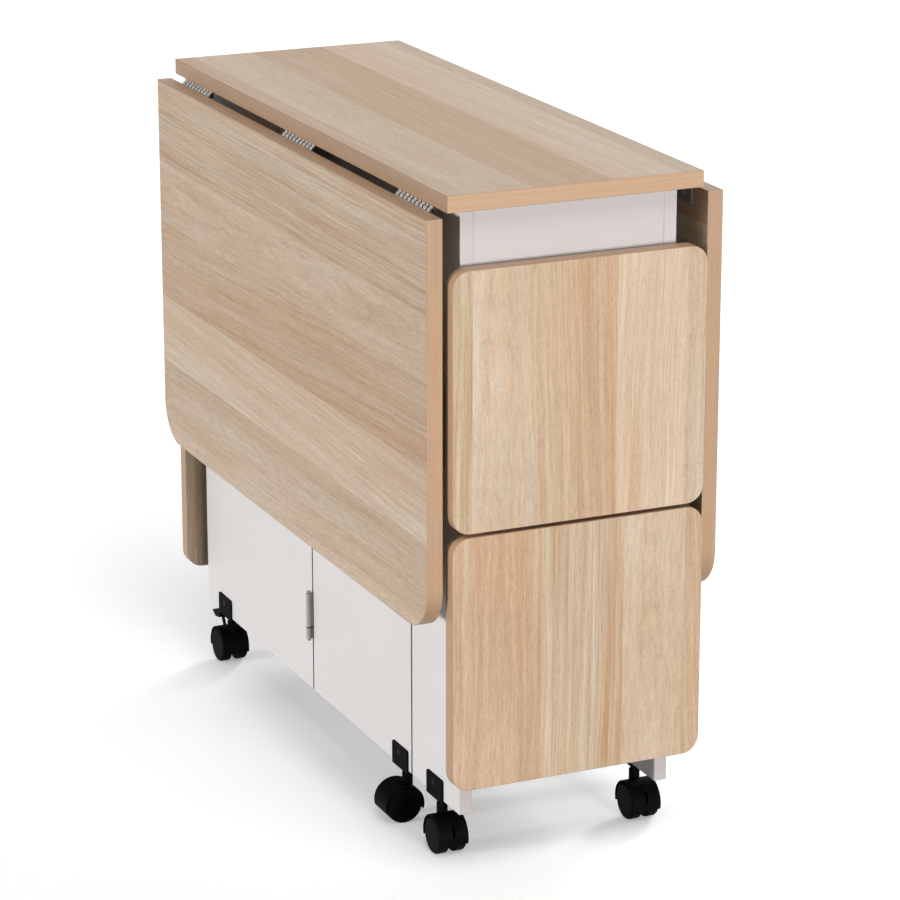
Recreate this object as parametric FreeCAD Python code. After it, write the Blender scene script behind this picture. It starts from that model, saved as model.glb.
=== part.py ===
import FreeCAD, Part
import math
import os

from FreeCAD import Placement, Rotation, Vector

# Drop-leaf table on six twin-wheel casters, with four stools parked in its ends.
# Origin on the floor under the table's centre, +X along the length, +Z up, millimetres.
# The front side is -Y. The rear side is the front side turned half a turn about Z.

# Driving dimensions of the table
TABLE_HEIGHT = 750.0
TOP_LENGTH = 800.0
TOP_WIDTH = 294.0
BOARD = 18.0
PANEL = 15.0
EDGE_ROUND = 0.8

# Drop leaves and the line that they turn about
LEAF_DROP = 448.0
LEAF_CORNER = 48.0
LEAF_AXIS_OUT = 0.5
LEAF_AXIS_DOWN = 4.8

# Carcass under the top
CARCASS_LENGTH = 764.0
CARCASS_WIDTH = 250.0
CASTER_HEIGHT = 63.0
POST_WIDTH = 126.0
GATE_WIDTH = 284.0
PANEL_GAP = 3.0
APRON_HEIGHT = 80.0
SHELF_INSET = 2.0

# Gates
GATE_TOP_GAP = 10.0
GATE_AXIS_OUT = 5.0
GATE_CASTER_INSET = 28.0
GLIDE_LENGTH = 30.0
GLIDE_HEIGHT = 9.0
GLIDE_INSET = 1.5
GLIDE_ROUND = 2.0

# Stools, lying with their seats outwards
SEAT_SIDE = 283.0
SEAT_CORNER = 20.0
SEAT_GAP = 4.0
LOWER_SEAT_BOTTOM = 103.5
SEAT_STANDOFF = 13.0
STOOL_LEG_DEPTH = 225.0
STOOL_LEG_SPAN = 200.0
STOOL_RAIL_DEPTH = 60.0
STOOL_CLEARANCE = 0.5
STOOL_GLIDE = 4.0
STOOL_GLIDE_RADIUS = 7.0
STOOL_GLIDE_ROUND = 1.5
STOOL_GLIDE_INSET = 25.0
LOWER_RAIL_HEIGHT = 90.0

# Dowels and clearances
DOWEL_RADIUS = 4.0
DOWEL_LENGTH = 30.0
DOWEL_IN_WALL = 11.0
WALL_DOWEL_X = (290.0, 350.0, -90.0, -220.0, -350.0)
PARTITION_DOWEL_Y = (-60.0, 60.0)
FIT = 0.05
DRILL_SLACK = 0.1
PAST = 1.0

# Screws, and their cross recess as parts of the head radius, shank radius and head depth
LEAF_SCREW = {"length": 12.0, "radius": 1.5, "head_radius": 3.0, "head_depth": 1.5}
GATE_SCREW = {"length": 16.0, "radius": 1.3, "head_radius": 2.4, "head_depth": 1.1}
BRACKET_SCREW = {"length": 12.0, "radius": 1.6, "head_radius": 3.2, "head_depth": 1.8}
RECESS_REACH = 0.62
RECESS_WIDTH = 0.2
RECESS_DEPTH = 0.8

# Leaf hinges
LEAF_HINGE_X = (-320.0, 0.0, 320.0)
LEAF_HINGE_LENGTH = 90.0
LEAF_HINGE_REACH = 20.0
LEAF_HINGE_PLATE = 1.6
LEAF_HINGE_SCREWS = (-30.0, 0.0, 30.0)
LEAF_SCREW_INSET = 11.5
LEAF_KNUCKLES = 9
LEAF_KNUCKLE_RADIUS = 2.9
LEAF_PIN_INSET = 6.0
KNUCKLE_GAP = 0.4
KNUCKLE_ROUND = 0.9
HINGE_SLIT = 0.3
PIN_RADIUS = 1.5

# Gate hinges
GATE_HINGE_HEIGHT = 56.0
GATE_HINGE_LOW = 128.0
GATE_HINGE_SHORT = 14.0
GATE_HINGE_PLATE = 1.2
GATE_HINGE_SCREWS = (14.0, 42.0)
GATE_KNUCKLE_RADIUS = 3.2
GATE_HINGE_ARM = 4.0
PIN_HEAD_RADIUS = 2.4
PIN_HEAD_HEIGHT = 2.0

# Caster brackets
CASTER_X = 319.5
BRACKET_LENGTH = 42.0
BRACKET_HEIGHT = 27.0
BRACKET_PLATE = 2.0
BRACKET_CORNER = 3.0
BRACKET_SCREW_LEVEL = 17.5
BRACKET_SCREW_SHIFT = -3.0
FLANGE = 3.0
SOCKET_HEIGHT = 8.0
SOCKET_RADIUS = 5.5
BOSS_RADIUS = 5.0
BOSS_DEPTH = 2.4

# Casters. Angles are about the axle in degrees, zero being straight back along the trail
WHEEL_RADIUS = 21.0
WHEEL_INNER = 4.6
WHEEL_ROUND = 3.2
WHEEL_INNER_ROUND = 1.0
AXLE_RADIUS = 3.0
CASTER_HALF_WIDTH = 17.0
HOOD_RADIUS = 23.5
HOOD_INNER = 21.8
HOOD_LOW = (-16.0, 196.0)
HOOD_ROUND = 0.6
WEB_CLEARANCE = 0.6
HUB_RADIUS = 7.0
TRAIL = 10.0
STEM_RADIUS = 4.0
COLLAR_RADIUS = 6.1
COLLAR_LEVELS = (34.0, 55.0)
COLLAR_CHAMFER = 1.5
SLOT_HALF_WIDTH = 1.6
SLOT_INNER = 10.5
PLAIN_SLOT = (8.0, 40.0)
BRAKE_SLOT = (8.0, 62.0)

# Brake lever, seen from the side: along the trail and above the axle
BRAKE_PIVOT = (12.0, 10.0)
BRAKE_PIN_RADIUS = 1.2
BRAKE_HUB_RADIUS = 2.6
BRAKE_ARM = ((10.6, 12.2), (14.4, 9.0), (25.5, 27.0), (21.0, 31.5))
BRAKE_PAD = ((47.0, 29.5), (45.0, 31.0), (22.0, 32.5), (20.0, 29.0), (24.0, 26.5), (36.0, 24.5))
BRAKE_ARM_HALF = 1.1
BRAKE_PAD_HALF = 5.0
BRAKE_PAD_ROUND = 0.8

# Places worked out from the driving dimensions
TOP_UNDER = TABLE_HEIGHT - BOARD
HALF_LENGTH = CARCASS_LENGTH / 2
WALL_OUT = CARCASS_WIDTH / 2
WALL_IN = WALL_OUT - PANEL
WALL_MID = WALL_OUT - PANEL / 2
GATE_FREE = HALF_LENGTH - POST_WIDTH - PANEL_GAP
GATE_HUNG = GATE_FREE - GATE_WIDTH
GATE_AXIS = (GATE_HUNG - PANEL_GAP / 2, -WALL_OUT - GATE_AXIS_OUT)
GATE_TOP = TOP_UNDER - GATE_TOP_GAP
GATE_CASTER_X = GATE_FREE - GATE_CASTER_INSET
LEAF_AXIS = (-TOP_WIDTH / 2 - LEAF_AXIS_OUT, TOP_UNDER - LEAF_AXIS_DOWN)
LEAF_INNER = LEAF_AXIS[0] - LEAF_AXIS_DOWN
LOWER_STOOL = LOWER_SEAT_BOTTOM + SEAT_SIDE / 2
UPPER_STOOL = LOWER_STOOL + SEAT_SIDE + SEAT_GAP
SEAT_FRONT = HALF_LENGTH + SEAT_STANDOFF + BOARD
BOTTOM_TOP = LOWER_STOOL - STOOL_LEG_DEPTH / 2 - STOOL_CLEARANCE
SHELF_TOP = UPPER_STOOL - STOOL_LEG_DEPTH / 2 - STOOL_CLEARANCE


def box(x, y, z):
    """A block between the two values of each pair."""
    corner = Vector(min(x), min(y), min(z))
    return Part.makeBox(abs(x[1] - x[0]), abs(y[1] - y[0]), abs(z[1] - z[0]), corner)


def rod(radius, start, end):
    """A round bar between two points."""
    start = Vector(*start)
    span = Vector(*end) - start
    return Part.makeCylinder(radius, span.Length, start, span)


def fused(shapes):
    return shapes[0].multiFuse(shapes[1:]).removeSplitter()


def board(x, y, z, corner_radius=0.0, corners_below=0.0):
    """A board with eased edges. Its corners lower than corners_below are rounded in plan."""
    shape = box(x, y, z)
    if corner_radius:
        thickness = min(abs(x[1] - x[0]), abs(y[1] - y[0]), abs(z[1] - z[0]))
        corners = [edge for edge in shape.Edges
                   if abs(edge.Length - thickness) < FIT and edge.CenterOfMass.z < corners_below]
        shape = shape.makeFillet(corner_radius, corners)
    return shape.makeFillet(EDGE_ROUND, shape.Edges)


def turned(shape, angle=180.0):
    """A copy turned about the table's vertical centre line."""
    copy = shape.copy()
    copy.rotate(Vector(0, 0, 0), Vector(0, 0, 1), angle)
    return copy


def both_sides(shapes):
    return shapes + [turned(shape) for shape in shapes]


def save(name, *solids):
    shape = solids[0] if len(solids) == 1 else Part.makeCompound(list(solids))
    shape.exportStep("parts/" + name + ".step")


# Screws and dowels

def screw(head, direction, length, radius, head_radius, head_depth):
    """A countersunk screw whose head lies flush at the point head, with a cross recess."""
    start = Vector(*head)
    along = Vector(*direction)
    cone = Part.makeCone(head_radius, radius, head_depth, start, along)
    shank = Part.makeCylinder(radius, length, start, along)
    reach = head_radius * RECESS_REACH
    width = radius * RECESS_WIDTH
    depth = (-PAST, head_depth * RECESS_DEPTH)
    recess = box((-reach, reach), (-width, width), depth).fuse(box((-width, width), (-reach, reach), depth))
    recess.Placement = Placement(start, Rotation(Vector(0, 0, 1), along))
    return cone.fuse(shank).cut(recess)


def screw_hole(head, direction, length, radius, head_radius, head_depth):
    """The countersunk hole that the same screw goes in, a little larger all round."""
    along = Vector(*direction)
    start = Vector(*head)
    wide = head_radius + DRILL_SLACK
    narrow = radius + DRILL_SLACK
    cone = Part.makeCone(wide, narrow, head_depth, start, along)
    shank = Part.makeCylinder(narrow, length + DRILL_SLACK, start, along)
    return cone.fuse(shank)


def dowel(middle, direction):
    along = Vector(*direction)
    start = Vector(*middle) - along * (DOWEL_LENGTH / 2)
    return Part.makeCylinder(DOWEL_RADIUS, DOWEL_LENGTH, start, along)


def dowel_hole(middle, direction):
    along = Vector(*direction)
    start = Vector(*middle) - along * (DOWEL_LENGTH / 2 + DRILL_SLACK)
    return Part.makeCylinder(DOWEL_RADIUS + DRILL_SLACK, DOWEL_LENGTH + 2 * DRILL_SLACK, start, along)


def front_dowel_places():
    """Dowels of the front walls: upright into the top, level into the shelves."""
    places = []
    for x in WALL_DOWEL_X:
        places.append(((x, -WALL_MID, TOP_UNDER), (0, 0, 1)))
        for level in (BOTTOM_TOP, SHELF_TOP):
            middle = -WALL_IN - DOWEL_IN_WALL + DOWEL_LENGTH / 2
            places.append(((x, middle, level - PANEL / 2), (0, 1, 0)))
    return places


def partition_dowel_places():
    return [((0, y, TOP_UNDER), (0, 0, 1)) for y in PARTITION_DOWEL_Y]


# Places of the screws that hold hinges and brackets: head point and direction

def leaf_hinge_screws(side):
    """Screws in the top's halves or in the leaf's halves."""
    places = []
    for x in LEAF_HINGE_X:
        for step in LEAF_HINGE_SCREWS:
            if side == "top":
                head = (x + step, LEAF_AXIS[0] + LEAF_SCREW_INSET, TOP_UNDER - LEAF_HINGE_PLATE)
                places.append((head, (0, 0, 1)))
            else:
                head = (x + step, LEAF_INNER + LEAF_HINGE_PLATE, LEAF_AXIS[1] - LEAF_SCREW_INSET)
                places.append((head, (0, -1, 0)))
    return places


def gate_hinge_levels():
    upper = GATE_TOP - (GATE_HINGE_LOW - CASTER_HEIGHT) - GATE_HINGE_HEIGHT
    return (GATE_HINGE_LOW, upper)


def gate_hinge_screws(side):
    """Screws in the wall's edge or in the gate's edge."""
    face = GATE_HUNG - PANEL_GAP + GATE_HINGE_PLATE if side == "wall" else GATE_HUNG - GATE_HINGE_PLATE
    direction = (-1, 0, 0) if side == "wall" else (1, 0, 0)
    places = []
    for low in gate_hinge_levels():
        for step in GATE_HINGE_SCREWS:
            places.append(((face, -WALL_MID, low + step), direction))
    return places


def bracket_screw(x):
    """The one screw through a bracket's upright plate."""
    level = CASTER_HEIGHT - FLANGE + BRACKET_SCREW_LEVEL
    return ((x + BRACKET_SCREW_SHIFT, -WALL_OUT - BRACKET_PLATE, level), (0, 1, 0))


# Hinges

def knuckle_spans(start, length, count):
    pitch = length / count
    return [(start + i * pitch + KNUCKLE_GAP / 2, start + (i + 1) * pitch - KNUCKLE_GAP / 2)
            for i in range(count)]


def rounded_rod(radius, start, end, rounding):
    """A round bar with both rims rounded."""
    bar = rod(radius, start, end)
    return bar.makeFillet(rounding, [edge for edge in bar.Edges if len(edge.Vertexes) == 1])


def leaf_hinge_half(x, side):
    """Plate, webs and every second knuckle of one half. The top's half lies under the top."""
    y, z = LEAF_AXIS
    near = LEAF_AXIS_DOWN - LEAF_HINGE_PLATE
    outer = HINGE_SLIT + LEAF_HINGE_PLATE
    reach = HINGE_SLIT + LEAF_HINGE_REACH
    span = (x - LEAF_HINGE_LENGTH / 2, x + LEAF_HINGE_LENGTH / 2)
    if side == "top":
        plate = box(span, (y + HINGE_SLIT, y + reach), (z + near, z + LEAF_AXIS_DOWN))
        web = ((y + HINGE_SLIT, y + outer), (z, z + near + HINGE_SLIT))
    else:
        plate = box(span, (y - LEAF_AXIS_DOWN, y - near), (z - reach, z - HINGE_SLIT))
        web = ((y - near - HINGE_SLIT, y), (z - outer, z - HINGE_SLIT))
    pieces = [plate]
    spans = knuckle_spans(span[0], LEAF_HINGE_LENGTH, LEAF_KNUCKLES)
    for low, high in spans[0 if side == "top" else 1::2]:
        pieces.append(rounded_rod(LEAF_KNUCKLE_RADIUS, (low, y, z), (high, y, z), KNUCKLE_ROUND))
        pieces.append(box((low, high), *web))
    bore = rod(PIN_RADIUS + FIT, (span[0] - PAST, y, z), (span[1] + PAST, y, z))
    half = fused(pieces).cut(bore)
    holes = [screw_hole(*place, **LEAF_SCREW) for place in leaf_hinge_screws(side)
             if span[0] < place[0][0] < span[1]]
    return half.cut(Part.makeCompound(holes))


def leaf_hinge_pin(x):
    reach = LEAF_HINGE_LENGTH / 2 - LEAF_PIN_INSET
    y, z = LEAF_AXIS
    return rod(PIN_RADIUS, (x - reach, y, z), (x + reach, y, z))


def gate_hinge_half(low, side):
    """A plate on a panel's edge, with one knuckle: short and low on the wall, long on the gate."""
    x, y = GATE_AXIS
    split = low + GATE_HINGE_SHORT
    high = low + GATE_HINGE_HEIGHT
    outer = HINGE_SLIT + GATE_HINGE_PLATE
    if side == "wall":
        thickness = (x - outer, x - HINGE_SLIT)
        level = (low, split - KNUCKLE_GAP / 2)
    else:
        thickness = (x + HINGE_SLIT, x + outer)
        level = (split + KNUCKLE_GAP / 2, high)
    plate = box(thickness, (y + GATE_HINGE_ARM - KNUCKLE_GAP, -WALL_IN), (low, high))
    arm = box(thickness, (y, y + GATE_HINGE_ARM), level)
    knuckle = rod(GATE_KNUCKLE_RADIUS, (x, y, level[0]), (x, y, level[1]))
    bore = rod(PIN_RADIUS + FIT, (x, y, low - PAST), (x, y, high + PAST))
    half = fused([plate, arm, knuckle]).cut(bore)
    holes = [screw_hole(*place, **GATE_SCREW) for place in gate_hinge_screws(side)
             if low < place[0][2] < high]
    return half.cut(Part.makeCompound(holes))


def gate_hinge_pin(low):
    """A shaft with a head at both ends, clear of the knuckles."""
    x, y = GATE_AXIS
    bottom = low - HINGE_SLIT
    top = low + GATE_HINGE_HEIGHT + HINGE_SLIT
    pieces = [rod(PIN_RADIUS, (x, y, bottom), (x, y, top))]
    for inner, outer in ((bottom, bottom - PIN_HEAD_HEIGHT), (top, top + PIN_HEAD_HEIGHT)):
        pieces.append(rod(PIN_HEAD_RADIUS, (x, y, inner), (x, y, outer)))
    return fused(pieces)


# Casters, made with the swivel at the origin and the wheels trailing towards +X

def upright(radius, low, high):
    return rod(radius, (0, 0, low), (0, 0, high))


def crosswise(radius, reach, x=TRAIL, z=WHEEL_RADIUS):
    """A bar along Y, through the axle unless another place is given."""
    return rod(radius, (x, -reach, z), (x, reach, z))


def sector(inner, outer, half_width, start, end):
    """A ring sector about the wheel axle, between two angles."""
    def point(radius, angle):
        turn = math.radians(angle)
        return Vector(TRAIL + radius * math.cos(turn), -half_width, WHEEL_RADIUS + radius * math.sin(turn))

    def arc(radius):
        return Part.Arc(*[point(radius, angle) for angle in (start, (start + end) / 2, end)]).toShape()

    sides = [Part.makeLine(point(inner, angle), point(outer, angle)) for angle in (start, end)]
    curves = [arc(outer), arc(inner)] if inner else [arc(outer)]
    outline = Part.Wire(Part.__sortEdges__(curves + sides))
    return Part.Face(outline).extrude(Vector(0, 2 * half_width, 0))


def side_plate(outline, half_width):
    """A flat piece of even width from its outline beside the axle."""
    points = [Vector(TRAIL + x, -half_width, WHEEL_RADIUS + z) for x, z in outline]
    face = Part.Face(Part.makePolygon(points + points[:1]))
    return face.extrude(Vector(0, 2 * half_width, 0))


def caster_hood(slot, with_brake):
    """Hood over both wheels, web between them, collar and the pin that swivels in the bracket."""
    shell = sector(HOOD_INNER, HOOD_RADIUS, CASTER_HALF_WIDTH, *HOOD_LOW)
    rims = [edge for edge in shell.Edges if edge.BoundBox.XLength > 2 * WHEEL_RADIUS]
    shell = shell.makeFillet(HOOD_ROUND, rims)
    web_half = WHEEL_INNER - WEB_CLEARANCE
    web = sector(0, HOOD_INNER + HOOD_ROUND, web_half, *HOOD_LOW)
    collar = upright(COLLAR_RADIUS, *COLLAR_LEVELS)
    collar = collar.makeChamfer(COLLAR_CHAMFER, [collar.Edges[0]])
    collar = collar.cut(crosswise(HOOD_INNER, CASTER_HALF_WIDTH))
    pin = upright(STEM_RADIUS, COLLAR_LEVELS[1] - PAST, CASTER_HEIGHT + SOCKET_HEIGHT - STOOL_CLEARANCE)
    hood = fused([shell, web, crosswise(HUB_RADIUS, web_half), collar, pin])
    hood = hood.cut(crosswise(AXLE_RADIUS + FIT, CASTER_HALF_WIDTH))
    if slot:
        hood = hood.cut(sector(SLOT_INNER, HOOD_RADIUS + PAST, SLOT_HALF_WIDTH, *slot))
    if with_brake:
        hood = hood.cut(brake_pin(FIT, web_half + PAST))
    return hood


def caster_wheels():
    """Two wheels on one axle."""
    pieces = [crosswise(AXLE_RADIUS, CASTER_HALF_WIDTH - PAST)]
    for side in (-1, 1):
        wheel = rod(WHEEL_RADIUS, (TRAIL, side * WHEEL_INNER, WHEEL_RADIUS),
                    (TRAIL, side * CASTER_HALF_WIDTH, WHEEL_RADIUS))
        rims = [edge for edge in wheel.Edges if len(edge.Vertexes) == 1]
        rims.sort(key=lambda edge: abs(edge.CenterOfMass.y))
        wheel = wheel.makeFillet(WHEEL_INNER_ROUND, rims[:1])
        rims = [edge for edge in wheel.Edges if abs(abs(edge.CenterOfMass.y) - CASTER_HALF_WIDTH) < FIT]
        pieces.append(wheel.makeFillet(WHEEL_ROUND, rims))
    return fused(pieces)


def brake_pin(slack, reach):
    return crosswise(BRAKE_PIN_RADIUS + slack, reach, TRAIL + BRAKE_PIVOT[0], WHEEL_RADIUS + BRAKE_PIVOT[1])


def brake_lever():
    """Arm in the hood's slot, foot pad outside it, and the pin that it turns on."""
    hub = crosswise(BRAKE_HUB_RADIUS, BRAKE_ARM_HALF, TRAIL + BRAKE_PIVOT[0], WHEEL_RADIUS + BRAKE_PIVOT[1])
    pad = side_plate(BRAKE_PAD, BRAKE_PAD_HALF)
    pad = pad.makeFillet(BRAKE_PAD_ROUND, [edge for edge in pad.Edges if edge.BoundBox.YLength > PAST])
    pin = brake_pin(0, WHEEL_INNER - WEB_CLEARANCE)
    return fused([hub, side_plate(BRAKE_ARM, BRAKE_ARM_HALF), pad, pin])


def caster_bracket(x):
    """Angle bracket round the wall's lower edge, with the socket that takes the caster's pin."""
    span = (x - BRACKET_LENGTH / 2, x + BRACKET_LENGTH / 2)
    low = CASTER_HEIGHT - FLANGE
    plate = box(span, (-WALL_OUT - BRACKET_PLATE, -WALL_OUT), (low, low + BRACKET_HEIGHT))
    corners = [edge for edge in plate.Edges
               if abs(edge.Length - BRACKET_PLATE) < FIT and edge.CenterOfMass.z > CASTER_HEIGHT]
    plate = plate.makeFillet(BRACKET_CORNER, corners)
    flange = box(span, (-WALL_OUT - BRACKET_PLATE, PAST - WALL_IN), (low, CASTER_HEIGHT))
    top = CASTER_HEIGHT + SOCKET_HEIGHT
    socket = rod(SOCKET_RADIUS, (x, -WALL_MID, low), (x, -WALL_MID, top))
    boss = rod(BOSS_RADIUS, (x, -WALL_MID, low - BOSS_DEPTH), (x, -WALL_MID, low))
    bore = rod(STEM_RADIUS + FIT, (x, -WALL_MID, low - BOSS_DEPTH), (x, -WALL_MID, top))
    bracket = fused([plate, flange, socket, boss]).cut(bore)
    return bracket.cut(screw_hole(*bracket_screw(x), **BRACKET_SCREW))


def socket_hole(x):
    top = CASTER_HEIGHT + SOCKET_HEIGHT + DRILL_SLACK
    return rod(SOCKET_RADIUS + DRILL_SLACK, (x, -WALL_MID, CASTER_HEIGHT - PAST), (x, -WALL_MID, top))


def placed(shape, x, y, heading):
    """A caster piece set under its swivel, trailing in the direction of heading."""
    copy = shape.copy()
    copy.Placement = Placement(Vector(x, y, 0), Rotation(Vector(0, 0, 1), heading))
    return copy


# Boards of the table

def drilled(shape, tools):
    return shape.cut(Part.makeCompound(tools)) if tools else shape


def within(places, x):
    return [place for place in places if min(x) < place[0][0] < max(x)]


def top_panel():
    half_length = TOP_LENGTH / 2
    half_width = TOP_WIDTH / 2
    shape = board((-half_length, half_length), (-half_width, half_width), (TOP_UNDER, TABLE_HEIGHT))
    upright_dowels = [place for place in front_dowel_places() if place[1] == (0, 0, 1)]
    holes = both_sides([dowel_hole(*place) for place in upright_dowels])
    holes += both_sides([screw_hole(*place, **LEAF_SCREW) for place in leaf_hinge_screws("top")])
    holes += [dowel_hole(*place) for place in partition_dowel_places()]
    return drilled(shape, holes)


def wall_panel(x, caster_x):
    """A fixed front wall panel, drilled for its dowels, its caster and the gate's hinges."""
    shape = board(x, (-WALL_OUT, -WALL_IN), (CASTER_HEIGHT, TOP_UNDER))
    holes = [dowel_hole(*place) for place in within(front_dowel_places(), x)]
    holes += [socket_hole(caster_x), screw_hole(*bracket_screw(caster_x), **BRACKET_SCREW)]
    if min(x) < 0:
        holes += [screw_hole(*place, **GATE_SCREW) for place in gate_hinge_screws("wall")]
    return drilled(shape, holes)


def gate_panel():
    shape = board((GATE_HUNG, GATE_FREE), (-WALL_OUT, -WALL_IN), (CASTER_HEIGHT, GATE_TOP))
    holes = [socket_hole(GATE_CASTER_X), screw_hole(*bracket_screw(GATE_CASTER_X), **BRACKET_SCREW)]
    holes += [screw_hole(*place, **GATE_SCREW) for place in gate_hinge_screws("gate")]
    return drilled(shape, holes)


def gate_glide():
    """The pad on the gate's top edge that takes up the hinge's depth under the leaf."""
    start = GATE_CASTER_X - GLIDE_LENGTH / 2
    pad = box((start, start + GLIDE_LENGTH), (GLIDE_INSET - WALL_OUT, -WALL_IN - GLIDE_INSET),
              (GATE_TOP, GATE_TOP + GLIDE_HEIGHT))
    return pad.makeFillet(GLIDE_ROUND, [edge for edge in pad.Edges if edge.CenterOfMass.z > GATE_TOP + PAST])


def leaf_panel():
    half_length = TOP_LENGTH / 2
    low = LEAF_AXIS[1] - LEAF_DROP
    shape = board((-half_length, half_length), (LEAF_INNER - BOARD, LEAF_INNER), (low, LEAF_AXIS[1]),
                  corner_radius=LEAF_CORNER, corners_below=low + PAST)
    return drilled(shape, [screw_hole(*place, **LEAF_SCREW) for place in leaf_hinge_screws("leaf")])


def shelf(x, top):
    """A level board between the walls, drilled at both edges for its dowels."""
    shape = board(x, (-WALL_IN, WALL_IN), (top - PANEL, top))
    level = [place for place in front_dowel_places() if place[0][2] == top - PANEL / 2]
    return drilled(shape, both_sides([dowel_hole(*place) for place in level]))


def centre_partition():
    """The upright board between the two ends' stools, from the bottom panel to the top."""
    shape = board((-PANEL / 2, PANEL / 2), (-WALL_IN, WALL_IN), (BOTTOM_TOP, TOP_UNDER))
    return drilled(shape, [dowel_hole(*place) for place in partition_dowel_places()])


def end_apron():
    low = TOP_UNDER - APRON_HEIGHT
    return board((HALF_LENGTH - PANEL, HALF_LENGTH), (-WALL_IN, WALL_IN), (low, TOP_UNDER))


# Stools

def stool(centre):
    """Seat, two legs, two rails and four glides of a stool lying in the +X end."""
    back = SEAT_FRONT - BOARD
    foot = PANEL / 2 + STOOL_CLEARANCE + STOOL_GLIDE
    half_span = STOOL_LEG_SPAN / 2
    low = centre - STOOL_LEG_DEPTH / 2
    high = centre + STOOL_LEG_DEPTH / 2
    seat = board((back, SEAT_FRONT), (-TOP_WIDTH / 2, TOP_WIDTH / 2),
                 (centre - SEAT_SIDE / 2, centre + SEAT_SIDE / 2),
                 corner_radius=SEAT_CORNER, corners_below=TABLE_HEIGHT)
    legs = [board((foot, back), (side * (half_span - PANEL), side * half_span), (low, high))
            for side in (-1, 1)]
    inner = (PANEL - half_span, half_span - PANEL)
    rails = [board((start, start + STOOL_RAIL_DEPTH), inner, (centre - PANEL / 2, centre + PANEL / 2))
             for start in (back - STOOL_RAIL_DEPTH, foot + LOWER_RAIL_HEIGHT)]
    glides = []
    for side in (-1, 1):
        for level in (low + STOOL_GLIDE_INSET, high - STOOL_GLIDE_INSET):
            y = side * (half_span - PANEL / 2)
            glide = rod(STOOL_GLIDE_RADIUS, (foot, y, level), (foot - STOOL_GLIDE, y, level))
            rim = [edge for edge in glide.Edges if abs(edge.CenterOfMass.x - foot + STOOL_GLIDE) < FIT]
            glides.append(glide.makeFillet(STOOL_GLIDE_ROUND, rim))
    return {"seat": [seat], "legs": legs, "rails": rails, "glides": glides}


def save_table():
    post_x = (HALF_LENGTH - POST_WIDTH, HALF_LENGTH)
    long_x = (-HALF_LENGTH, GATE_HUNG - PANEL_GAP)
    long_wall = wall_panel(long_x, -CASTER_X)
    shelf_end = HALF_LENGTH - SHELF_INSET
    save("top_panel", top_panel())
    save("post_panels", *both_sides([wall_panel(post_x, CASTER_X)]))
    save("front_long_panel", long_wall)
    save("rear_long_panel", turned(long_wall))
    save("end_aprons", *both_sides([end_apron()]))
    save("bottom_panel", shelf((-shelf_end, shelf_end), BOTTOM_TOP))
    save("half_shelves", *both_sides([shelf((PANEL / 2, shelf_end), SHELF_TOP)]))
    save("centre_partition", centre_partition())
    dowels = both_sides([dowel(*place) for place in front_dowel_places()])
    save("panel_dowels", *dowels, *[dowel(*place) for place in partition_dowel_places()])


def save_leaves():
    leaf = leaf_panel()
    halves = [leaf_hinge_half(x, "leaf") for x in LEAF_HINGE_X]
    screws = [screw(*place, **LEAF_SCREW) for place in leaf_hinge_screws("leaf")]
    for side, angle in (("front", 0.0), ("rear", 180.0)):
        save(side + "_leaf", turned(leaf, angle))
        save(side + "_leaf_hinge_halves", *[turned(half, angle) for half in halves])
        save(side + "_leaf_screws", *[turned(piece, angle) for piece in screws])
    save("leaf_hinge_top_halves", *both_sides([leaf_hinge_half(x, "top") for x in LEAF_HINGE_X]))


def save_gates():
    gate = gate_panel()
    glide = gate_glide()
    halves = [gate_hinge_half(low, "gate") for low in gate_hinge_levels()]
    bracket = caster_bracket(GATE_CASTER_X)
    screws = [screw(*place, **GATE_SCREW) for place in gate_hinge_screws("gate")]
    screws.append(screw(*bracket_screw(GATE_CASTER_X), **BRACKET_SCREW))
    for side, angle in (("front", 0.0), ("rear", 180.0)):
        save(side + "_gate", turned(gate, angle))
        save(side + "_gate_glide", turned(glide, angle))
        save(side + "_gate_hinge_halves", *[turned(half, angle) for half in halves])
        save(side + "_gate_bracket", turned(bracket, angle))
        save(side + "_gate_screws", *[turned(piece, angle) for piece in screws])
    halves = [gate_hinge_half(low, "wall") for low in gate_hinge_levels()]
    save("gate_hinge_wall_halves", *both_sides(halves))


def save_carcass_fittings():
    pins = [leaf_hinge_pin(x) for x in LEAF_HINGE_X]
    pins += [gate_hinge_pin(low) for low in gate_hinge_levels()]
    save("hinge_pins", *both_sides(pins))
    corners = (CASTER_X, -CASTER_X)
    save("corner_brackets", *both_sides([caster_bracket(x) for x in corners]))
    screws = [screw(*place, **LEAF_SCREW) for place in leaf_hinge_screws("top")]
    screws += [screw(*place, **GATE_SCREW) for place in gate_hinge_screws("wall")]
    screws += [screw(*bracket_screw(x), **BRACKET_SCREW) for x in corners]
    save("carcass_screws", *both_sides(screws))


def save_stools():
    for level, centre in (("upper", UPPER_STOOL), ("lower", LOWER_STOOL)):
        pieces = stool(centre)
        for end, angle in (("near", 0.0), ("far", 180.0)):
            for piece, solids in pieces.items():
                save("_".join((end, level, "stool", piece)), *[turned(solid, angle) for solid in solids])


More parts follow.
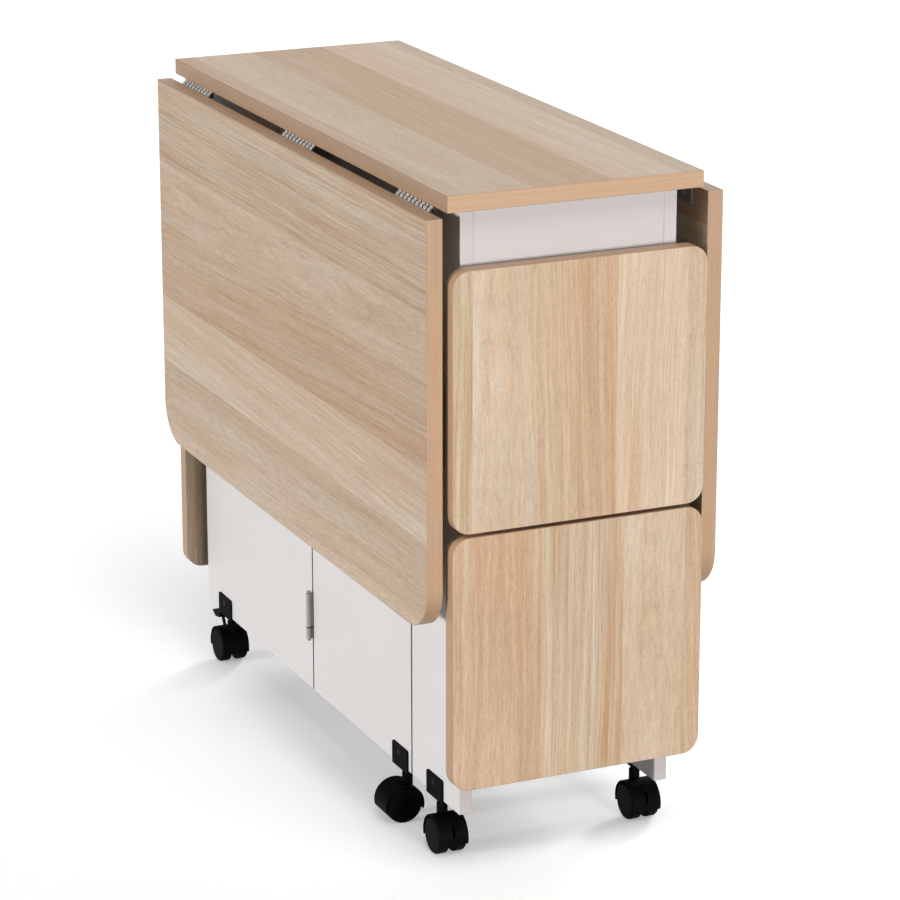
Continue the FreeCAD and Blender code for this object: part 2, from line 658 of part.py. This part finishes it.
def save_casters():
    """Each caster's name, swivel place, heading, slot in the hood, and whether it has a brake."""
    casters = (
        ("near_front", CASTER_X, -WALL_MID, 0.0, PLAIN_SLOT, False),
        ("near_rear", CASTER_X, WALL_MID, 0.0, PLAIN_SLOT, False),
        ("far_front", -CASTER_X, -WALL_MID, 180.0, BRAKE_SLOT, True),
        ("far_rear", -CASTER_X, WALL_MID, 180.0, BRAKE_SLOT, True),
        ("front_gate", GATE_CASTER_X, -WALL_MID, -90.0, None, False),
        ("rear_gate", -GATE_CASTER_X, WALL_MID, 90.0, None, False),
    )
    wheels = caster_wheels()
    for name, x, y, heading, slot, with_brake in casters:
        save(name + "_caster_hood", placed(caster_hood(slot, with_brake), x, y, heading))
        save(name + "_caster_wheels", placed(wheels, x, y, heading))
        if with_brake:
            save(name + "_brake_lever", placed(brake_lever(), x, y, heading))


os.makedirs("parts", exist_ok=True)
save_table()
save_leaves()
save_gates()
save_carcass_fittings()
save_stools()
save_casters()
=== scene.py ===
import math

import bpy
from mathutils import Euler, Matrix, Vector


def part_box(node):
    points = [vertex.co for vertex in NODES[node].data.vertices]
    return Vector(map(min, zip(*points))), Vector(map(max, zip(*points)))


# Looks of a drop-leaf table on casters, with four stools stored in its ends: oak-effect and white
# melamine boards, black casters and two kinds of hinge steel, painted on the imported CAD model.
# Lengths are metres and colours are linear throughout.

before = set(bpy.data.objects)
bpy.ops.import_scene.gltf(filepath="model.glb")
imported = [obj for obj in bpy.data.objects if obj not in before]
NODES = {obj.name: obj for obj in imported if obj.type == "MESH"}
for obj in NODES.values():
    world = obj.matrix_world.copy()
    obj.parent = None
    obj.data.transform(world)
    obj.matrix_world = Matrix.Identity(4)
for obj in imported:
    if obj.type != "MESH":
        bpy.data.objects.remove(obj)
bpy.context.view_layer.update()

# The pieces that come in sets
STOOLS = ("near_upper", "near_lower", "far_upper", "far_lower")
CASTERS = ("near_front", "near_rear", "far_front", "far_rear", "front_gate", "rear_gate")
BRAKES = ("far_front", "far_rear")
SIDES = ("front", "rear")

# The printed oak pattern repeats across the grain as six planks. For each plank: its width, its colour at
# both sides, the place of the heart line across it (0 to 1 inside the plank), the depth of that line under
# the face, how mottled the figure is, how strong the streaks are, and how far the streaks slant off the edge.
PLANKS = (
    (0.097, (0.512, 0.385, 0.269), (0.470, 0.338, 0.219), 1.70, 0.02, 0.20, 1.46, 0.004),
    (0.073, (0.540, 0.408, 0.287), (0.514, 0.379, 0.260), 0.45, 0.03, 1.00, 0.74, 0.000),
    (0.093, (0.478, 0.323, 0.199), (0.473, 0.312, 0.190), -0.60, 0.04, 0.35, 1.12, 0.022),
    (0.082, (0.554, 0.405, 0.277), (0.573, 0.434, 0.312), 1.40, 0.03, 0.45, 1.01, -0.020),
    (0.103, (0.487, 0.360, 0.247), (0.563, 0.420, 0.297), 0.35, 0.01, 0.85, 0.86, 0.006),
    (0.103, (0.504, 0.341, 0.220), (0.479, 0.322, 0.201), 0.50, 0.01, 0.60, 1.04, -0.008),
)
WIDTHS, FIRST_COLOURS, LAST_COLOURS, HEARTS, HEART_DEPTHS, MOTTLING, STRENGTHS, SLANTS = zip(*PLANKS)
PATTERN_WIDTH = sum(WIDTHS)
STARTS = [sum(WIDTHS[:i]) / PATTERN_WIDTH for i in range(len(PLANKS))]
SHARES = [width / PATTERN_WIDTH for width in WIDTHS]
PLANK_SEED_STEP = 7.3

# A colour ramp holds numbers from 0 to 1, which stand for these ranges of heart, strength and slant
HEART_RANGE = (-1.0, 2.0)
STRENGTH_RANGE = (0.0, 2.0)
SLANT_RANGE = (-0.05, 0.05)

# Streaks follow the rings. For each kind: its amount in the tone, its waves per metre across the rings and
# along the grain, and where its noise starts.
WARM_STREAKS = ((0.38, 60.0, 1.3, 0.0), (0.46, 250.0, 3.4, 3.1))
FINE_STREAKS = ((0.32, 420.0, 6.0, 5.7), (0.36, 900.0, 16.0, 8.3))

# Other figure of the oak, as waves per metre along and across the grain
SWAY_WAVES = 3.0
CURL_WAVES = (26.0, 75.0)
MOTTLE_WAVES = (48.0, 190.0)
PORE_WAVES = (105.0, 1000.0)
CLOUD_WAVES = (5.0, 26.0)

# How far the heart line sways, and how far the rings drift along the board and ripple
SWAY = 0.016
DRIFT = 0.010
RIPPLE = 0.0060

# How much each of them changes the tone, and the noise values between which a dash turns into a pore
MOTTLE_SHARE = 0.30
DASH_SHARE = 0.62
PORE_SHARE = -0.42
CLOUD_SHARE = 0.34
PORE_HEIGHT = -0.5
PORE_EDGES = (0.09, 0.26)

# How a streak changes red, green and blue: warm streaks tan, plain ones darken
WARM = (0.42, 1.00, 1.62)
PLAIN = (0.92, 1.00, 1.06)
ALL_ALIKE = (1.0, 1.0, 1.0)

# The oak's edge band, the waves per metre of its streaks through the board's thickness and the other ways,
# and the dark line of glue where it meets the face: its amount and its reach under the face
EDGE_BAND = (0.468, 0.302, 0.187)
EDGE_BAND_DARK = (0.430, 0.270, 0.163)
BAND_WAVES = 420.0
BAND_WAVES_ALONG = 5.0
BAND_STREAK_EDGES = (-0.16, 0.18)
GLUE_LINE = (0.230, 0.130, 0.070)
GLUE_AMOUNT = 0.7
GLUE_UNDER_FACE = (0.00042, 0.00012)
FACE_SKIN = 0.00006

# Tones of the other materials. A pair is the two tones that the patches of a surface lie between. The white
# boards have painted shade on their ends, and dull patches that are a little darker. The worn patches of a
# black surface are lighter.
WHITE = (0.795, 0.765, 0.755)
WHITE_DULL = 0.975
WHITE_END_SHADE = (0.535, 0.497, 0.483)
# Painted shade in the joints beside the gates
SEAM_SHADE = (0.110, 0.100, 0.095)
ZINC = ((0.335, 0.325, 0.318), (0.295, 0.285, 0.280))
# Painted shade in the gap where the two halves of a gate hinge meet
ZINC_GAP_SHADE = (0.030, 0.029, 0.028)
KNUCKLE = ((0.70, 0.685, 0.665), (0.63, 0.615, 0.595))
# Painted shade on the plates of the leaf hinges, and in their grooves and bore
HINGE_PLATE_SHADE = (0.20, 0.195, 0.19)
HINGE_HOLLOW_SHADE = (0.045, 0.043, 0.041)
PLATED_SCREW = ((0.50, 0.49, 0.47), (0.43, 0.42, 0.40))
BEECH = ((0.60, 0.43, 0.27), (0.70, 0.54, 0.36))
BLACK = (0.0026, 0.0026, 0.0027)
WHEEL_BLACK = (0.0028, 0.0028, 0.0029)
BRACKET_BLACK = (0.0028, 0.0028, 0.0028)
GLIDE_BLACK = (0.010, 0.010, 0.0105)
WORN_BLACK = 1.6

# Places on the CAD model: half the thickness of an oak board, the long edges of the top, the carcass ends,
# the inside of its walls, the joints beside the front gate, the axis of the leaf hinges (y and z) with the
# spacing of their knuckles, the levels where the halves of the gate hinges meet, and a level between the
# bracket screws and all the others
HALF_BOARD = 0.009
LONG_EDGE = 0.1465
END_FACE = 0.3815
WALL_INNER = 0.1095
SEAMS = (0.2545, -0.0325)
LEAF_AXIS = (0.1475, 0.7272)
KNUCKLE_PITCH = 0.010
GATE_HINGE_SPLITS = (0.142, 0.615)
BRACKET_SCREW_LEVEL = (0.101, 0.099)

# Soft edges of painted marks, from the distance where a mark is absent to where it is full, in metres, and
# for the grooves as a share of the knuckles' pitch
SEAM_EDGES = (0.0019, 0.0014)
SPLIT_EDGES = (0.0011, 0.0005)
KNUCKLE_EDGES = (0.0054, 0.0050)
BORE_EDGES = (0.0022, 0.0018)
GROOVE_EDGES = (0.20, 0.10)
PLATE_EDGES = (0.0050, 0.0056)

# Stage: tones and glow of the floor and of the wall round it, their sizes, and how dull their patches are
FLOOR = (0.90, 0.90, 0.90)
FLOOR_GLOW = 0.30
FLOOR_REACH = 30.0
WALL = (0.04, 0.04, 0.04)
WALL_GLOW = 0.98
WALL_RADIUS = 26.0
WALL_HEIGHT = 20.0
WALL_STEPS = 48
STAGE_DULL = 0.985
SKY_STRENGTH = 0.12

# Each lamp: its name, the direction from the object to it, its strength, and its spread in degrees
SUNS = (
    ("key", (0.50, 0.00, 0.866), 1.48, 40.0),
    ("side", (0.96, 0.08, 0.09), 2.95, 16.0),
    ("front", (-0.04, -0.98, 0.13), 2.38, 9.0),
    ("rim", (-0.80, 0.45, 0.30), 0.34, 40.0),
    ("back", (-0.55, 0.75, 0.35), 1.75, 14.0),
)

# The camera, as fitted to the photo's edges: azimuth, elevation and roll in degrees, place, and lens in mm
CAMERA_ANGLES = (65.766, 17.132, -0.009)
CAMERA_PLACE = (3.6660, -1.6143, 1.5854)
CAMERA_LENS = 144.976
CAMERA_SENSOR = 36.0

# Where a Mix node has its factor and its two colours among the inputs, and the mixed colour among the outputs
MIX_FACTOR, MIX_FIRST, MIX_SECOND, MIX_RESULT = 0, 6, 7, 2


class Shader:
    """A material and short calls that add nodes to it. A value is a number, a tuple or a socket."""

    def __init__(self, name):
        self.material = bpy.data.materials.new(name)
        self.material.use_nodes = True
        self.tree = self.material.node_tree
        self.tree.nodes.clear()
        self.position = self.add("ShaderNodeTexCoord").outputs["Object"]

    def add(self, kind, inputs=None, **settings):
        node = self.tree.nodes.new(kind)
        for name, value in settings.items():
            setattr(node, name, value)
        for name, value in (inputs or {}).items():
            if isinstance(value, bpy.types.NodeSocket):
                self.tree.links.new(value, node.inputs[name])
            else:
                node.inputs[name].default_value = value
        return node

    def math(self, operation, a, b=0.0):
        return self.add("ShaderNodeMath", {0: a, 1: b}, operation=operation).outputs[0]

    def times(self, a, b):
        return self.math("MULTIPLY", a, b)

    def off(self, value, middle):
        """Distance of a value from a middle."""
        return self.math("ABSOLUTE", self.math("SUBTRACT", value, middle))

    def beyond(self, value, limit):
        """1 where the value lies farther from zero than the limit, else 0."""
        return self.math("GREATER_THAN", self.math("ABSOLUTE", value), limit)

    def distance(self, a, b):
        """Length of the vector with two parts."""
        return self.math("SQRT", self.math("ADD", self.math("POWER", a, 2.0), self.math("POWER", b, 2.0)))

    def total(self, *terms):
        """The sum of products: each term is (factor, value)."""
        result = None
        for factor, value in terms:
            part = self.times(value, factor)
            result = part if result is None else self.math("ADD", result, part)
        return result

    def axes(self):
        node = self.add("ShaderNodeSeparateXYZ", {0: self.position})
        return dict(zip("xyz", node.outputs))

    def vector(self, x, y, z):
        return self.add("ShaderNodeCombineXYZ", {0: x, 1: y, 2: z}).outputs[0]

    def noise(self, vector, scale=1.0, detail=2.0, roughness=0.5):
        """Noise about zero."""
        node = self.add("ShaderNodeTexNoise", {"Vector": vector, "Scale": scale, "Detail": detail,
                                               "Roughness": roughness})
        return self.math("SUBTRACT", node.outputs["Fac"], 0.5)

    def stretched_noise(self, *parts, detail=2.0, roughness=0.5):
        """Noise about zero over three values. A value that comes with a scale is multiplied by it."""
        place = [self.times(*part) if isinstance(part, tuple) else part for part in parts]
        return self.noise(self.vector(*place), detail=detail, roughness=roughness)

    def between(self, value, low, high):
        """0 at low, 1 at high, smooth and clamped."""
        node = self.add("ShaderNodeMapRange", {"Value": value, "From Min": low, "From Max": high},
                        interpolation_type="SMOOTHSTEP")
        return node.outputs["Result"]

    def mix(self, factor, a, b):
        node = self.add("ShaderNodeMix", data_type="RGBA")
        for place, value in ((MIX_FACTOR, factor), (MIX_FIRST, a), (MIX_SECOND, b)):
            if isinstance(value, bpy.types.NodeSocket):
                self.tree.links.new(value, node.inputs[place])
            else:
                node.inputs[place].default_value = value if place == MIX_FACTOR else (*value, 1.0)
        return node.outputs[MIX_RESULT]

    def patches(self, noise, reach, a, b):
        """The first tone where the noise is at minus reach, the second where it is at reach."""
        return self.mix(self.between(noise, -reach, reach), a, b)

    def pick(self, key, rows):
        """The row that key, from 0 to 1, falls in."""
        node = self.add("ShaderNodeValToRGB", {"Fac": key})
        node.color_ramp.interpolation = "CONSTANT"
        stops = node.color_ramp.elements
        while len(stops) < len(rows):
            stops.new(1.0)
        for i, row in enumerate(rows):
            stops[i].position = i / len(rows)
            stops[i].color = (*row, 1.0)
        return node.outputs["Color"]

    def pick_number(self, key, numbers, low=0.0, high=1.0):
        """The same for numbers that lie from low to high."""
        rows = [((number - low) / (high - low),) * 3 for number in numbers]
        red = self.add("ShaderNodeSeparateColor", {0: self.pick(key, rows)}).outputs[0]
        return self.total((high - low, red), (low, 1.0))

    def tint(self, colour, amount, gains):
        """The colour times one plus the amount of each gain."""
        factor = self.add("ShaderNodeVectorMath", {0: self.vector(amount, amount, amount), 1: gains,
                                                   2: ALL_ALIKE}, operation="MULTIPLY_ADD").outputs[0]
        return self.add("ShaderNodeVectorMath", {0: colour, 1: factor}, operation="MULTIPLY").outputs[0]

    def finish(self, colour, roughness, height=None, depth=0.0001, strength=1.0, metallic=0.0, specular=0.5,
               glow=0.0):
        """Join the surface to the output. The height, if any, is a bump of the given depth."""
        surface = self.add("ShaderNodeBsdfPrincipled", {
            "Base Color": colour, "Roughness": roughness, "Metallic": metallic,
            "Specular IOR Level": specular, "Emission Color": (1.0, 1.0, 1.0, 1.0),
            "Emission Strength": glow})
        if height is not None:
            bump = self.add("ShaderNodeBump", {"Height": height, "Distance": depth, "Strength": strength})
            self.tree.links.new(bump.outputs[0], surface.inputs["Normal"])
        output = self.add("ShaderNodeOutputMaterial")
        self.tree.links.new(surface.outputs[0], output.inputs[0])
        return self.material


def oak_face(shader, along, across, seed, contrast):
    """Colour and pore height of the printed oak, from the distances along and across its grain."""
    # The plank under this point, and the place inside it
    pattern = shader.math("FRACT", shader.math("DIVIDE", across, PATTERN_WIDTH))
    index = shader.total(*[(1.0, shader.math("GREATER_THAN", pattern, start)) for start in STARTS[1:]])
    key = shader.math("DIVIDE", shader.math("ADD", index, 0.5), len(PLANKS))
    start = shader.pick_number(key, STARTS)
    share = shader.pick_number(key, SHARES)
    heart = shader.pick_number(key, HEARTS, *HEART_RANGE)
    heart_depth = shader.pick_number(key, HEART_DEPTHS)
    mottling = shader.pick_number(key, MOTTLING)
    strength = shader.pick_number(key, STRENGTHS, *STRENGTH_RANGE)
    slant = shader.pick_number(key, SLANTS, *SLANT_RANGE)
    inside = shader.math("DIVIDE", shader.math("SUBTRACT", pattern, start), share)
    tone = shader.mix(inside, shader.pick(key, FIRST_COLOURS), shader.pick(key, LAST_COLOURS))
    plank_seed = shader.total((PLANK_SEED_STEP, index), (1.0, seed))

    def figure(waves, detail=1.0):
        return shader.stretched_noise((along, waves[0]), (across, waves[1]), plank_seed, detail=detail)

    # Rings round the heart line, which sways and slants
    off_heart = shader.times(shader.math("SUBTRACT", inside, heart), shader.times(share, PATTERN_WIDTH))
    lean = shader.times(along, slant)
    sway = shader.stretched_noise((along, SWAY_WAVES), plank_seed, 0.0)
    off_heart = shader.total((1.0, off_heart), (SWAY, sway), (1.0, lean))
    ripple = shader.times(figure(CURL_WAVES, detail=2.0), mottling)
    ring = shader.total((1.0, shader.distance(off_heart, heart_depth)), (DRIFT, along), (RIPPLE, ripple))

    def streaks(kinds):
        noises = [(amount, shader.stretched_noise((ring, across_waves), (along, along_waves),
                                                  shader.math("ADD", plank_seed, offset), detail=1.0))
                  for amount, across_waves, along_waves, offset in kinds]
        return shader.times(shader.total(*noises), strength)

    # Tone: the plain part darkens, the warm part tans
    dash = figure(PORE_WAVES)
    pores = shader.between(dash, *PORE_EDGES)
    plain = shader.total((1.0, streaks(FINE_STREAKS)),
                         (MOTTLE_SHARE, shader.times(figure(MOTTLE_WAVES), mottling)),
                         (DASH_SHARE, dash), (PORE_SHARE, pores))
    warm = shader.total((1.0, streaks(WARM_STREAKS)),
                        (CLOUD_SHARE, shader.times(figure(CLOUD_WAVES), mottling)))
    colour = shader.tint(tone, shader.times(warm, contrast), WARM)
    colour = shader.tint(colour, shader.times(plain, contrast), PLAIN)
    return colour, shader.total((1.0, plain), (PORE_HEIGHT, pores))


def oak(name, board, along, across, through, offset, seed, contrast=1.0, band_gain=1.0, long_edge_shade_gain=None):
    """Oak board: grain along one axis, pattern across another, edge band round the third.

    The offset shifts the pattern across the grain, and a minus sign before that axis turns it round. The
    edge band has its own gain, and the long edges of the top may have another, which paints shade on them.
    """
    shader = Shader(name)
    axes = shader.axes()
    direction = -1.0 if across[0] == "-" else 1.0
    across_axis = axes[across[-1]]
    face, pores = oak_face(shader, axes[along], shader.total((direction, across_axis), (offset, 1.0)),
                           seed, contrast)

    streak = shader.stretched_noise(*[(axes[axis], BAND_WAVES if axis == through else BAND_WAVES_ALONG)
                                      for axis in "xyz"], detail=3.0, roughness=0.6)
    band = shader.mix(shader.between(streak, *BAND_STREAK_EDGES), EDGE_BAND_DARK, EDGE_BAND)
    gain = band_gain - 1.0
    # Painted shade on the long edges of the top
    if long_edge_shade_gain is not None:
        gain = shader.total((long_edge_shade_gain - band_gain, shader.beyond(across_axis, LONG_EDGE)), (gain, 1.0))
    band = shader.tint(band, gain, ALL_ALIKE)

    low, high = (corner["xyz".index(through)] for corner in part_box(board))
    from_middle = shader.off(axes[through], (low + high) / 2)
    glue = shader.between(from_middle, *[HALF_BOARD - under for under in GLUE_UNDER_FACE])
    band = shader.mix(shader.times(glue, GLUE_AMOUNT), band, GLUE_LINE)
    on_face = shader.math("GREATER_THAN", from_middle, HALF_BOARD - FACE_SKIN)
    colour = shader.mix(on_face, band, face)
    roughness = shader.total((0.44, 1.0), (-0.12, pores))
    return shader.finish(colour, roughness, shader.times(pores, on_face), depth=0.00012, strength=0.6,
                         specular=0.4)


def white_melamine():
    """White board: painted shade on the ends and in the joints beside the gates."""
    shader = Shader("white_melamine")
    axes = shader.axes()
    cloud = shader.noise(shader.position, scale=7.0)
    pearl = shader.noise(shader.position, scale=1500.0)
    colour = shader.patches(cloud, 0.25, WHITE, [c * WHITE_DULL for c in WHITE])
    # Painted shade on the ends of the boards
    colour = shader.mix(shader.beyond(axes["x"], END_FACE), colour, WHITE_END_SHADE)
    # The rear wall is the front wall turned half a turn, so its joints are mirrored in x
    along = shader.times(axes["x"], shader.math("SIGN", shader.times(axes["y"], -1.0)))
    wall = shader.beyond(axes["y"], WALL_INNER)
    # Painted shade in the joints beside the gates, on the walls only
    for place in SEAMS:
        seam_shade = shader.times(shader.between(shader.off(along, place), *SEAM_EDGES), wall)
        colour = shader.mix(seam_shade, colour, SEAM_SHADE)
    roughness = shader.total((0.42, 1.0), (0.15, pearl))
    return shader.finish(colour, roughness, pearl, depth=0.00005, strength=0.5, specular=0.4)


def black_plastic(name, tone, base_roughness, grain):
    """Nearly black plastic or paint, with a fine grain of so many waves per metre."""
    shader = Shader(name)
    spark = shader.noise(shader.position, scale=grain)
    cloud = shader.noise(shader.position, scale=60.0)
    colour = shader.patches(cloud, 0.2, tone, [c * WORN_BLACK for c in tone])
    roughness = shader.total((base_roughness, 1.0), (0.2, spark), (0.1, cloud))
    return shader.finish(colour, roughness, spark, depth=0.00006, strength=0.5, specular=0.02)


def gate_hinge_steel():
    """Dull zinc with a line of painted shade where the two halves of a gate hinge meet."""
    shader = Shader("gate_hinge_steel")
    axes = shader.axes()
    brushed = shader.stretched_noise((axes["x"], 1500.0), (axes["y"], 1500.0), (axes["z"], 60.0))
    cloud = shader.noise(shader.position, scale=90.0)
    colour = shader.patches(cloud, 0.2, *ZINC)
    # Painted shade where the two halves meet
    for level in GATE_HINGE_SPLITS:
        colour = shader.mix(shader.between(shader.off(axes["z"], level), *SPLIT_EDGES), colour, ZINC_GAP_SHADE)
    roughness = shader.total((0.42, 1.0), (0.2, brushed), (0.15, cloud))
    return shader.finish(colour, roughness, brushed, depth=0.00002, strength=0.3, metallic=1.0)


def leaf_hinge_steel():
    """Bright knuckles, with painted shade in the grooves between them, in the bore and on the plates."""
    shader = Shader("leaf_hinge_steel")
    axes = shader.axes()
    beside = shader.math("SUBTRACT", shader.math("ABSOLUTE", axes["y"]), LEAF_AXIS[0])
    above = shader.math("SUBTRACT", axes["z"], LEAF_AXIS[1])
    off_axis = shader.distance(beside, above)
    turn = shader.math("FRACT", shader.math("DIVIDE", axes["x"], KNUCKLE_PITCH))
    # Painted shade in the grooves between the knuckles and in the bore
    groove_shade = shader.times(shader.between(shader.off(turn, 0.5), *GROOVE_EDGES),
                          shader.between(off_axis, *KNUCKLE_EDGES))
    shade = shader.math("MAXIMUM", groove_shade, shader.between(off_axis, *BORE_EDGES))
    cloud = shader.noise(shader.position, scale=120.0)
    steel = shader.patches(cloud, 0.2, *KNUCKLE)
    # Painted shade on the plates
    steel = shader.mix(shader.between(off_axis, *PLATE_EDGES), steel, HINGE_PLATE_SHADE)
    colour = shader.mix(shade, steel, HINGE_HOLLOW_SHADE)
    roughness = shader.total((0.48, 1.0), (0.15, cloud), (0.2, shade))
    return shader.finish(colour, roughness, metallic=0.55)


def screw_steel():
    """Plated screws, black on the brackets near the floor."""
    shader = Shader("screw_steel")
    low = shader.between(shader.axes()["z"], *BRACKET_SCREW_LEVEL)
    cloud = shader.noise(shader.position, scale=900.0)
    colour = shader.mix(low, shader.patches(cloud, 0.2, *PLATED_SCREW), BLACK)
    roughness = shader.total((0.36, 1.0), (0.2, cloud), (0.12, low))
    return shader.finish(colour, roughness, cloud, depth=0.00003, strength=0.4, metallic=1.0)


def beech():
    """Raw dowel wood with an even grain, since the dowels lie in several directions."""
    shader = Shader("beech")
    grain = shader.noise(shader.position, scale=700.0, detail=3.0)
    roughness = shader.total((0.62, 1.0), (0.2, grain))
    return shader.finish(shader.patches(grain, 0.2, *BEECH), roughness, grain, depth=0.00008, specular=0.3)


def paint(material, *names):
    """Give the nodes this material and no other."""
    for name in names:
        materials = NODES[name].data.materials
        materials.clear()
        materials.append(material)


def each(owners, *endings):
    """The names of the same pieces on several owners."""
    return [owner + "_" + ending for ending in endings for owner in owners]


# The oak boards. The top's pattern is weaker than that of the boards that stand. Its edge band is lightened
# on the ends as a painted highlight, and darkened on the long edges as painted shade.
paint(oak("oak_top", "top_panel", "x", "y", "z", offset=0.221, seed=3.0, contrast=0.66, band_gain=1.08,
          long_edge_shade_gain=0.86), "top_panel")
for side, offset, seed in (("front", 0.7242, 0.0), ("rear", 0.9542, 40.0)):
    leaf = side + "_leaf"
    paint(oak("oak_" + leaf, leaf, "x", "-z", "y", offset, seed, band_gain=0.93), leaf)
for stool, offset, seed in zip(STOOLS, (0.2215, 0.595, 0.330, 0.480), (11.0, 23.0, 31.0, 57.0)):
    seat = stool + "_stool_seat"
    paint(oak("oak_" + seat, seat, "z", "y", "x", offset, seed), seat)

paint(white_melamine(), "post_panels", "front_long_panel", "rear_long_panel", "end_aprons", "bottom_panel",
      "half_shelves", "centre_partition", *each(SIDES, "gate"), *each(STOOLS, "stool_legs", "stool_rails"))
paint(black_plastic("caster_plastic", BLACK, 0.5, 1800.0),
      *each(CASTERS, "caster_hood"), *each(BRAKES, "brake_lever"))
paint(black_plastic("wheel_plastic", WHEEL_BLACK, 0.50, 1400.0), *each(CASTERS, "caster_wheels"))
paint(black_plastic("bracket_paint", BRACKET_BLACK, 0.58, 1100.0),
      "corner_brackets", *each(SIDES, "gate_bracket"))
paint(black_plastic("glide_plastic", GLIDE_BLACK, 0.5, 1500.0),
      *each(SIDES, "gate_glide"), *each(STOOLS, "stool_glides"))
paint(leaf_hinge_steel(), "leaf_hinge_top_halves", *each(SIDES, "leaf_hinge_halves"))
paint(gate_hinge_steel(), "gate_hinge_wall_halves", "hinge_pins", *each(SIDES, "gate_hinge_halves"))
paint(screw_steel(), "carcass_screws", *each(SIDES, "leaf_screws", "gate_screws"))
paint(beech(), "panel_dowels")


# Floor, light and camera

def set_piece(name, corners, faces, tone, glow):
    """Part of the stage. It throws no light back at the object, so gaps stay dark as in a large studio."""
    shader = Shader(name + "_paint")
    cloud = shader.noise(shader.position, scale=1.5)
    colour = shader.patches(cloud, 0.3, tone, [c * STAGE_DULL for c in tone])
    mesh = bpy.data.meshes.new(name)
    mesh.from_pydata(corners, [], faces)
    mesh.materials.append(shader.finish(colour, 0.7, specular=0.1, glow=glow))
    piece = bpy.data.objects.new(name, mesh)
    bpy.context.scene.collection.objects.link(piece)
    piece.visible_diffuse = False
    return piece


def floor():
    """A wide pale floor, lit a little from itself as a light table is, so that it stays even."""
    signs = ((-1, -1), (1, -1), (1, 1), (-1, 1))
    corners = [(x * FLOOR_REACH, y * FLOOR_REACH, 0) for x, y in signs]
    set_piece("floor", corners, [(0, 1, 2, 3)], FLOOR, FLOOR_GLOW)


def backdrop():
    """A glowing white wall far round the floor. The lamps shine through it."""
    turns = [math.tau * i / WALL_STEPS for i in range(WALL_STEPS)]
    corners = [(WALL_RADIUS * math.cos(turn), WALL_RADIUS * math.sin(turn), level)
               for level in (0.0, WALL_HEIGHT) for turn in turns]
    pairs = [(i, (i + 1) % WALL_STEPS) for i in range(WALL_STEPS)]
    faces = [(here, there, there + WALL_STEPS, here + WALL_STEPS) for here, there in pairs]
    wall = set_piece("backdrop", corners, faces, WALL, WALL_GLOW)
    wall.visible_glossy = False
    wall.visible_shadow = False


def sun(name, direction, strength, spread):
    light = bpy.data.lights.new(name, "SUN")
    light.energy = strength
    light.angle = math.radians(spread)
    lamp = bpy.data.objects.new(name, light)
    bpy.context.scene.collection.objects.link(lamp)
    lamp.rotation_euler = (-Vector(direction)).to_track_quat("-Z", "Y").to_euler()


def sky():
    world = bpy.data.worlds.new("studio")
    world.use_nodes = True
    background = world.node_tree.nodes["Background"]
    background.inputs["Color"].default_value = (1.0, 1.0, 1.0, 1.0)
    background.inputs["Strength"].default_value = SKY_STRENGTH
    bpy.context.scene.world = world


def camera():
    azimuth, elevation, roll = (math.radians(angle) for angle in CAMERA_ANGLES)
    data = bpy.data.cameras.new("camera")
    data.sensor_width = CAMERA_SENSOR
    data.lens = CAMERA_LENS
    piece = bpy.data.objects.new("camera", data)
    bpy.context.scene.collection.objects.link(piece)
    piece.location = CAMERA_PLACE
    back = Vector((math.sin(azimuth) * math.cos(elevation), -math.cos(azimuth) * math.cos(elevation),
                   math.sin(elevation)))
    turn = (-back).to_track_quat("-Z", "Y") @ Euler((0.0, 0.0, roll)).to_quaternion()
    piece.rotation_euler = turn.to_euler()
    bpy.context.scene.camera = piece


floor()
backdrop()
sky()
for lamp in SUNS:
    sun(*lamp)
camera()
bpy.context.scene.view_settings.view_transform = "Standard"
